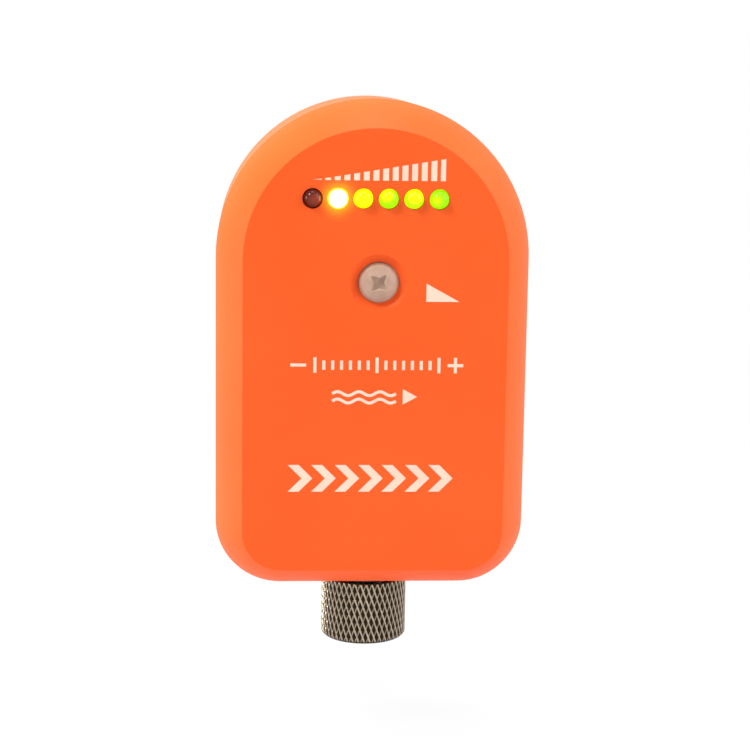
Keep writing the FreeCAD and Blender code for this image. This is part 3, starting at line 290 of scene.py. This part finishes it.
def dress_nodes():
    """Every CAD node gets its finish, whether it shows or hides inside."""
    steel = metal("zinc_steel", (0.66, 0.67, 0.68), 0.30, edge_mm=0.12)
    stainless = metal("stainless_steel", (0.56, 0.55, 0.53), 0.24, 0.35, 0.15, True)
    nickel = metal("nickel_plate", (0.70, 0.64, 0.55), 0.25, 0.4, 0.08)
    gold = metal("gold_plate", (0.90, 0.66, 0.25), 0.20)
    can = metal("aluminium_can", (0.78, 0.78, 0.79), 0.32, edge_mm=0.1)
    rubber = plain("black_rubber", (0.018, 0.018, 0.018), 0.62, 0.12, 0.006)
    black = plain("black_plastic", (0.024, 0.024, 0.026), 0.45, 0.2, 0.004, edge_mm=0.08)
    finishes = {
        "orange_plastic": orange_plastic("orange_plastic", 0.09),
        "black_rubber": rubber, "zinc_steel": steel,
        "board_laminate": plain("board_laminate", (0.015, 0.14, 0.05), 0.30, 0.4, 0.003, 0.15),
        "black_plastic": black, "aluminium_can": can,
        "blue_plastic": plain("blue_plastic", (0.03, 0.10, 0.45), 0.35),
        "white_plastic": plain("white_plastic", (0.80, 0.80, 0.77), 0.35),
        "nylon": nylon(), "nickel_plated_brass": nickel, "gold_plated_brass": gold,
        "wire_insulation": plain("wire_insulation", (0.05, 0.05, 0.06), 0.40),
        "stainless_steel": stainless,
        "white_ceramic": plain("white_ceramic", (0.85, 0.84, 0.80), 0.50, 0.1, 0.003),
    }
    lights = [
        # red lamp: base colour painted lighter toward its lower right, as light through the dome
        # from the upper left
        lamp("lamp_red_unlit", LAMP_SPOTS[0], (0.06, 0.008, 0.004), (0.26, 0.038, 0.018),
             0, 0.0, (0.2, -0.2)),
        lamp("lamp_yellow_lit", LAMP_SPOTS[1], (1.0, 0.50, 0.0), (1.0, 0.93, 0.62), 14, 0.72),
        lamp("lamp_green_1_lit", LAMP_SPOTS[2], (0.60, 0.95, 0.0), (0.95, 1.0, 0.0), 1.1, 0.6),
        lamp("lamp_green_2_lit", LAMP_SPOTS[3], (0.28, 0.90, 0.0), (0.92, 1.0, 0.0), 1.15, 0.25,
             (-0.4, 0.6)),
        lamp("lamp_green_3_lit", LAMP_SPOTS[4], (0.40, 0.92, 0.0), (0.95, 1.0, 0.0), 1.15, 0.5,
             (0.1, 0.5)),
        lamp("lamp_green_4_lit", LAMP_SPOTS[5], (0.22, 0.85, 0.0), (0.72, 1.0, 0.0), 1.1, 0.0,
             (-0.5, -0.1)),
    ]
    housing_plastic = orange_plastic("orange_plastic_housing", 0.19)
    for item in frame["record"]["subparts"]:
        node, finish = item["node"], finishes.get(item["material_slot"])
        if node in LAMPS:
            finish = lights[LAMPS.index(node)]
        if node == "rear_housing":
            finish = housing_plastic
        for place in NODES[node].material_slots:
            place.material = finish
    return finishes


# ---- meshes ----

def finish_mesh(name, points, faces, material, sharp=35.0):
    """A linked object from points in millimetres, smooth except at sharp edges."""
    mesh = bpy.data.meshes.new(name)
    mesh.from_pydata([Vector(point) * MM for point in points], [], faces)
    mesh.validate()
    mesh.shade_smooth()
    mesh.set_sharp_from_angle(angle=math.radians(sharp))
    mesh.materials.append(material)
    piece = bpy.data.objects.new(name, mesh)
    bpy.context.scene.collection.objects.link(piece)
    return piece


def turned(name, rings, columns, axis, centre, material, loop=False, sharp=35.0):
    """A turned piece. A ring is (radius, height), or a function of the angle that gives them.
    The rings run round the section: its ends meet if loop, else each closes on the axis."""
    points = []
    for ring in rings:
        for column in range(columns):
            angle = 2 * math.pi * column / columns
            radius, height = ring(angle) if callable(ring) else ring
            across, along = radius * math.sin(angle), radius * math.cos(angle)
            spot = (across, height, along) if axis == "Y" else (across, -along, height)
            points.append(tuple(a + b for a, b in zip(spot, centre)))
    faces = []
    pairs = len(rings) if loop else len(rings) - 1
    for row in range(pairs):
        first, second = row * columns, (row + 1) % len(rings) * columns
        for column in range(columns):
            after = (column + 1) % columns
            faces.append((first + column, first + after, second + after, second + column))
    if not loop:
        faces.append(tuple(reversed(range(columns))))
        faces.append(tuple((len(rings) - 1) * columns + column for column in range(columns)))
    piece = finish_mesh(name, points, faces, material, sharp)
    fix_normals(piece)
    return piece


def fix_normals(piece):
    """Turns the faces of a closed mesh outwards."""
    work = bmesh.new()
    work.from_mesh(piece.data)
    bmesh.ops.recalc_face_normals(work, faces=work.faces)
    work.to_mesh(piece.data)
    work.free()


def wave(phase):
    """A triangle wave: 1 at whole phases and 0 half way between."""
    return abs(2 * (phase - math.floor(phase)) - 1)


def thread(radius, pitch, low, high, run_out, axis_sign=1):
    """Rings of a right-hand thread between two heights, cut below its outside radius."""
    depth = 0.61 * pitch
    rows_a_turn = 10
    rows = max(int((high - low) / pitch * rows_a_turn), 2)

    def ring_at(height):
        fade = min((height - low) / run_out, (high - height) / run_out, 1.0)

        def ring(angle):
            cut = wave(height / pitch - axis_sign * angle / (2 * math.pi))
            cut = min(max(cut * 1.3 - 0.15, 0.0), 1.0)
            return radius - depth * cut * max(fade, 0.0), height
        return ring
    return [ring_at(low + (high - low) * row / rows) for row in range(rows + 1)]


def make_cap(material):
    """Screw-on cap with a diamond knurl: two crossing sets of ridges round the outside."""
    low, high = span("protective_cap", 2)
    radius = span("protective_cap", 0)[1]
    teeth, lean, depth = 46, math.tan(math.radians(20.4)), 0.36
    lower_set, crest = 0.81, 1.35
    chamfer, rim_chamfer, lead, eye = 0.5, 0.25, 0.15, 0.4
    wall, end_wall, end_flat = 1.12, 1.2, radius - 2.2
    bore, floor = radius - wall, low + end_wall
    pitch = 2 * math.pi * radius / teeth
    rows, columns = 84, teeth * 12

    def ring_at(height, limit):
        def ring(angle):
            arc = -radius * (angle - math.pi)
            ridges = max(wave((arc - height * lean) / pitch),
                         lower_set * wave((arc + height * lean) / pitch))
            return min(radius - depth * (1 - ridges ** crest), limit), height
        return ring
    rings = [(eye, low), (end_flat, low), (radius - chamfer - 0.12, low)]
    for row in range(rows + 1):
        height = low + (high - low) * row / rows
        limit = min(radius - chamfer + (height - low), radius - rim_chamfer + (high - height))
        rings.append(ring_at(height, min(limit, radius)))
    rings += [(bore + lead, high), (bore, high - lead), (bore, floor), (eye, floor)]
    piece = turned("knurled_cap", rings, columns, "Z", (0, middle("protective_cap", 1), 0),
                   material, sharp=50.0)
    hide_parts("protective_cap")
    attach(piece, "protective_cap")


def make_connector(material):
    """Connector shell with its thread, bore and coding key."""
    low, high = span("connector_shell", 2)
    collar = span("connector_shell", 0)[1]
    radius = MOUNTS["connector_thread"]["dims"]["r_mm"]
    insert_face, head_end = span("connector_insert", 2)[0], span("rear_housing", 2)[0]
    bore, key, key_half_angle = 4.5, 0.6, 0.115
    chamfer, step = 0.5, 0.05
    collar_foot = high - 5.0
    thread_top, run_out = head_end - 0.6, 0.8

    def keyed(height):
        def ring(angle):
            return bore - (key if abs(angle - math.pi) < key_half_angle else 0.0), height
        return ring
    rings = [(bore, high), (bore, insert_face), keyed(insert_face - step), keyed(low + chamfer),
             (bore, low + chamfer - step), (bore, low), (radius - chamfer, low),
             (radius - step, low + chamfer - step)]
    rings += thread(radius, M12_PITCH, low + chamfer, thread_top, run_out, -1)
    rings += [(radius, collar_foot), (collar, collar_foot), (collar, high)]
    piece = turned("threaded_connector_shell", rings, 108, "Z",
                   (0, middle("connector_shell", 1), 0), material, loop=True)
    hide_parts("connector_shell")
    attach(piece, "head")


def make_fitting(material):
    """Process fitting: stub in the head, shoulder, chamfered hexagon and pipe thread."""
    inner, outer = span("process_fitting", 1)
    corner = span("process_fitting", 0)[1]
    flat = corner * math.cos(math.pi / 6)
    radius = MOUNTS["process_thread"]["dims"]["r_mm"]
    hexagon, back = -9.0, -12.0
    shoulder = face = 13.3
    stub, bore, socket, root = 10.0, 4.4, 5.02, 4.0
    chamfer, stub_chamfer, shoulder_chamfer, socket_chamfer, lead = 1.2, 0.5, 0.3, 0.2, 1.1
    thread_start, thread_end, run_out = 0.6, outer - 0.2, 1.6

    def hex_ring(height, from_face):
        limit = face + (corner - face) * min(from_face / chamfer, 1.0)

        def ring(angle):
            side = (angle - math.pi / 2) % (math.pi / 3)
            side = min(side, math.pi / 3 - side)
            return min(flat / math.cos(math.pi / 6 - side), limit), height
        return ring
    steps = [step / 8 * chamfer for step in range(9)]
    rings = [(bore, inner), (stub - stub_chamfer, inner), (stub, inner + stub_chamfer),
             (stub, back), (shoulder - shoulder_chamfer, back),
             (shoulder, back + shoulder_chamfer), (shoulder, hexagon)]
    rings += [hex_ring(hexagon + step, step) for step in steps]
    rings += [hex_ring(-step, step) for step in reversed(steps)]
    rings += [(radius + 0.4, 0.0), (radius - 0.9, 0.05)]
    rings += thread(radius, PIPE_PITCH, thread_start, thread_end, run_out)
    rings += [(radius - lead, outer), (socket + socket_chamfer, outer),
              (socket, outer - socket_chamfer), (socket, root), (bore, root)]
    piece = turned("threaded_process_fitting", rings, 144, "Y", (0, 0, 0), material, loop=True,
                   sharp=28.0)
    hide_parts("process_fitting")
    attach(piece, "head")


def make_plug(material):
    """Nylon screw over the set point, with a cross recess and an M3 thread."""
    top, tip = span("sealing_screw", 1)
    radius = (span("sealing_screw", 0)[1] - span("sealing_screw", 0)[0]) / 2
    under, crown, shank = top + 2.0, 0.75, 1.45
    ball = (radius ** 2 + crown ** 2) / (2 * crown)
    reach, half, floor, edge_slope = 1.75, 0.80, 0.8, 0.24
    skirt, edge, edge_fall = 0.18, 0.3, 0.35
    rows, columns = 40, 160

    def recess(radius_here, angle):
        """Depth of the cross, whose arms narrow and rise outwards."""
        turn = angle + math.pi / 4 + 0.06
        a, b = abs(radius_here * math.sin(turn)), abs(radius_here * math.cos(turn))
        along, aside = max(a, b), min(a, b)
        width = half * (1 - min(along / reach, 1.0)) ** 0.8
        wall = min(max((width - aside) / edge_slope + 0.4, 0.0), 1.0)
        rise = 1 - min(along / reach, 1.0) ** 2
        return floor * wall * wall * (3 - 2 * wall) * rise

    def ring_at(radius_here):
        dome = top + ball - math.sqrt(ball ** 2 - radius_here ** 2)
        if radius_here > radius - edge:
            dome += edge_fall * ((radius_here - radius + edge) / edge) ** 2

        def ring(angle):
            return radius_here, dome + recess(radius_here, angle)
        return ring
    rings = [ring_at(radius * (0.5 + row) / (0.5 + rows)) for row in range(rows + 1)]
    rings += [(radius + skirt, under - 0.9), (radius + skirt, under - 0.15),
              (radius + skirt - 0.15, under), (shank + 0.1, under),
              (shank, under + 0.1)]
    rings += thread(shank, PLUG_PITCH, under + 0.15, tip - 0.35, 0.5)
    rings += [(shank - 0.36, tip), (0.3, tip)]
    piece = turned("nylon_screw", rings, columns, "Y", (SCREW_X, 0, SCREW_Z), material,
                   sharp=45.0)
    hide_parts("sealing_screw")
    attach(piece, "sealing_screw")


# ---- printed marks ----

def print_shapes(name, outlines, material):
    """Thin ink on the panel: each outline is a list of (x, z) in millimetres."""
    points, faces = [], []
    for outline in outlines:
        first, count = len(points), len(outline)
        for y in (PANEL - INK_PROUD, PANEL + INK_SUNK):
            points += [(x, y, z) for x, z in outline]
        faces.append(tuple(first + index for index in range(count)))
        faces.append(tuple(first + count + index for index in reversed(range(count))))
        for index in range(count):
            after = (index + 1) % count
            faces.append((first + index, first + after, first + count + after,
                          first + count + index))
    piece = finish_mesh(name, points, faces, material)
    fix_normals(piece)
    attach(piece, "head")


def box_outline(left, low, right, high):
    """A rectangle."""
    return [(left, low), (right, low), (right, high), (left, high)]


def level_bars():
    """The rising scale over the lamps: a sliver, then bars under one slanted line."""
    bars, pitch, width = 13, 1.515, 0.94
    left, low, slope = -8.30, 12.98, 0.168
    line = low + 0.28
    shapes = [[(left - 1.85, low + 0.05), (left - 0.55, low + 0.05), (left - 0.55, line - 0.08)]]
    for index in range(bars):
        start_x = left + index * pitch
        end_x = start_x + (width if index < bars - 1 else width * 0.85)
        shapes.append([(start_x, low), (end_x, low),
                       (end_x, line + slope * (end_x - left)),
                       (start_x, line + slope * (start_x - left))])
    return shapes


def set_point_mark():
    """A small right-angled wedge beside the screw: turning it raises the set point."""
    return [[(7.97, -6.1), (13.25, -6.1), (7.97, -3.2)]]


def adjusting_scale():
    """Minus, ticks and plus under the set point."""
    left, right, low, high, bar = -13.5, 14.1, -17.6, -15.1, 0.5
    centre = (low + high) / 2
    size = high - low
    shapes = [box_outline(left, centre - bar / 2, left + size, centre + bar / 2)]
    shapes.append(cross_outline(right - size / 2, centre, size / 2, bar / 2))
    ticks = 15
    first, last = left + size + 1.4, right - size - 1.4
    for index in range(ticks):
        x = first + (last - first) * index / (ticks - 1)
        tall = size / 2 if index % 7 == 0 else size * 0.3
        shapes.append(box_outline(x - bar / 2, centre - tall, x + bar / 2, centre + tall))
    return shapes


def cross_outline(x, z, arm, half):
    """A plus sign."""
    return [(x - arm, z - half), (x - half, z - half), (x - half, z - arm), (x + half, z - arm),
            (x + half, z - half), (x + arm, z - half), (x + arm, z + half), (x + half, z + half),
            (x + half, z + arm), (x - half, z + arm), (x - half, z + half), (x - arm, z + half)]


def stroke(points, width):
    """The outline of an open line with a width."""
    left, right = [], []
    for index, (x, z) in enumerate(points):
        before, after = points[max(index - 1, 0)], points[min(index + 1, len(points) - 1)]
        way = Vector((after[0] - before[0], after[1] - before[1])).normalized()
        left.append((x - way.y * width / 2, z + way.x * width / 2))
        right.append((x + way.y * width / 2, z - way.x * width / 2))
    return left + right[::-1]


def flow_mark():
    """Two waves and an arrow head: the medium and the way it flows."""
    left, right, low, high = -6.8, 6.8, -22.7, -20.2
    shapes = []
    waves_end = right - 3.4
    for level in (low + 0.55, high - 0.75):
        points = []
        for step in range(49):
            share = step / 48
            points.append((left + (waves_end - left) * share,
                           level + 0.32 * math.sin(share * 3 * 2 * math.pi)))
        shapes.append(stroke(points, 0.48))
    centre = (low + high) / 2
    shapes.append([(right - 2.3, low), (right, centre), (right - 2.3, high)])
    return shapes


def chevrons():
    """A band of bold chevrons that point along the flow."""
    left, right, low, high = -13.8, 12.8, -37.0, -32.6
    count, thick = 7, 1.75
    middle_z, half = (low + high) / 2, (high - low) / 2
    pitch = (right - left - half - thick) / (count - 1)
    shapes = []
    for index in range(count):
        x = left + index * pitch
        shapes.append([(x, low), (x + thick, low), (x + thick + half, middle_z),
                       (x + thick, high), (x, high), (x + half, middle_z)])
    return shapes


def make_prints():
    """All the marks on the panel, in cream ink."""
    ink = plain("cream_ink", (0.80, 0.58, 0.455), 0.48, 0.25, 0.002, 0.05,
                Specular_IOR_Level=0.3)
    print_shapes("print_level_bars", level_bars(), ink)
    print_shapes("print_set_point_mark", set_point_mark(), ink)
    print_shapes("print_adjusting_scale", adjusting_scale(), ink)
    print_shapes("print_flow_mark", flow_mark(), ink)
    print_shapes("print_chevrons", chevrons(), ink)


# ---- studio ----

def make_floor():
    """Pale floor that looks nearly white to the camera but keeps the object's shadow.
    The switch is held by its thread, so the floor lies below the cap when it is screwed off."""
    low = cad_box[0][2] - CAP_CLEARANCE * MM
    size = 6.0
    near, away, near_white = 0.08, 0.45, 0.93
    mesh = bpy.data.meshes.new("floor")
    corners = [(-size, -size, low), (size, -size, low), (size, size, low), (-size, size, low)]
    mesh.from_pydata(corners, [], [(0, 1, 2, 3)])
    floor = bpy.data.objects.new("floor", mesh)
    bpy.context.scene.collection.objects.link(floor)
    material, tree, shader, coords = start("floor", 0.9)
    tone = spread(tree, noise(tree, coords, 40.0, 2.0), 0.61, 0.63)
    color = add(tree, "CombineColor", {0: tone, 1: tone, 2: tone}).outputs[0]
    tree.links.new(color, shader.inputs["Base Color"])
    shader.inputs["Specular IOR Level"].default_value = 0.1
    white = add(tree, "Emission", {"Color": (1, 1, 1, 1), "Strength": 1.0})
    sight = seen_directly(tree)
    far = add(tree, "VectorMath", {0: coords}, operation="LENGTH").outputs["Value"]
    white_share = add(tree, "MapRange", {"Value": far, "From Min": near, "From Max": away,
                                         "To Min": near_white, "To Max": 1.0}).outputs["Result"]
    share = add(tree, "Math", {0: sight, 1: white_share}, operation="MULTIPLY").outputs[0]
    mix = add(tree, "MixShader", {0: share, 1: shader.outputs[0], 2: white.outputs[0]})
    tree.links.new(mix.outputs[0], tree.nodes["Material Output"].inputs["Surface"])
    mesh.materials.append(material)


def seen_directly(tree):
    """1 for what the camera sees, straight or in a gloss or through glass, else 0."""
    path = add(tree, "LightPath").outputs
    either = add(tree, "Math", {0: path["Is Camera Ray"], 1: path["Is Glossy Ray"]},
                 operation="MAXIMUM").outputs[0]
    return add(tree, "Math", {0: either, 1: path["Is Transmission Ray"]},
               operation="MAXIMUM").outputs[0]


def make_world():
    """White to the camera and in reflections, a plain grey light for the rest."""
    world = bpy.data.worlds.new("studio")
    bpy.context.scene.world = world
    world.use_nodes = True
    tree = world.node_tree
    tree.nodes.clear()
    ambient = add(tree, "Background", {"Color": (1, 1, 1, 1), "Strength": 0.18})
    white = add(tree, "Background", {"Color": (1, 1, 1, 1), "Strength": 1.0})
    mix = add(tree, "MixShader", {0: seen_directly(tree), 1: ambient.outputs[0],
                                  2: white.outputs[0]})
    output = add(tree, "OutputWorld")
    tree.links.new(mix.outputs[0], output.inputs["Surface"])


def area_light(name, place, target, size, power):
    """A square soft light aimed at a point."""
    data = bpy.data.lights.new(name, "AREA")
    data.shape = "SQUARE"
    data.size = size
    data.energy = power
    light = bpy.data.objects.new(name, data)
    bpy.context.scene.collection.objects.link(light)
    light.visible_camera = False
    light.location = place
    way = Vector(target) - Vector(place)
    light.rotation_euler = way.to_track_quat("-Z", "Y").to_euler()
    return light


def make_lights():
    """A key from the upper left, and weaker lights above, behind and at both sides."""
    heart = (0, PANEL * MM, -0.014)
    area_light("key", (-0.36, -0.25, 0.45), heart, 0.14, 3.3)
    area_light("top", (0.02, 0.0, 0.55), heart, 0.30, 2.35)
    area_light("left", (-0.58, -0.07, 0.06), heart, 0.26, 2.0)
    area_light("right", (0.26, -0.10, 0.12), heart, 0.30, 1.24)
    back = area_light("back", (-0.30, 0.30, 0.35), heart, 0.20, 4.2)
    back.visible_glossy = False


def make_camera():
    """Camera a little left of the panel and above it, at the angle of a product view."""
    lens, sensor = 88.4, 36.0
    place = Vector((-0.01938, -0.33470, 0.03196))
    azimuth, elevation, roll = (math.radians(angle) for angle in (3.84, 9.78, 0.88))
    forward = Vector((math.sin(azimuth) * math.cos(elevation),
                      math.cos(azimuth) * math.cos(elevation), -math.sin(elevation)))
    level = Vector((math.cos(azimuth), -math.sin(azimuth), 0))
    upright = level.cross(forward)
    right = level * math.cos(roll) + upright * math.sin(roll)
    up = upright * math.cos(roll) - level * math.sin(roll)
    data = bpy.data.cameras.new("camera")
    data.lens, data.sensor_width = lens, sensor
    data.clip_start, data.clip_end = 0.01, 20.0
    camera = bpy.data.objects.new("camera", data)
    camera.matrix_world = Matrix((
        (right.x, up.x, -forward.x, place.x),
        (right.y, up.y, -forward.y, place.y),
        (right.z, up.z, -forward.z, place.z),
        (0, 0, 0, 1)))
    bpy.context.scene.collection.objects.link(camera)
    bpy.context.scene.camera = camera


FINISHES = dress_nodes()
make_cap(knurled_nickel())
make_connector(FINISHES["nickel_plated_brass"])
make_fitting(FINISHES["stainless_steel"])
make_plug(FINISHES["nylon"])
make_prints()
make_floor()
make_world()
make_lights()
make_camera()
bpy.context.scene.view_settings.view_transform = "Standard"
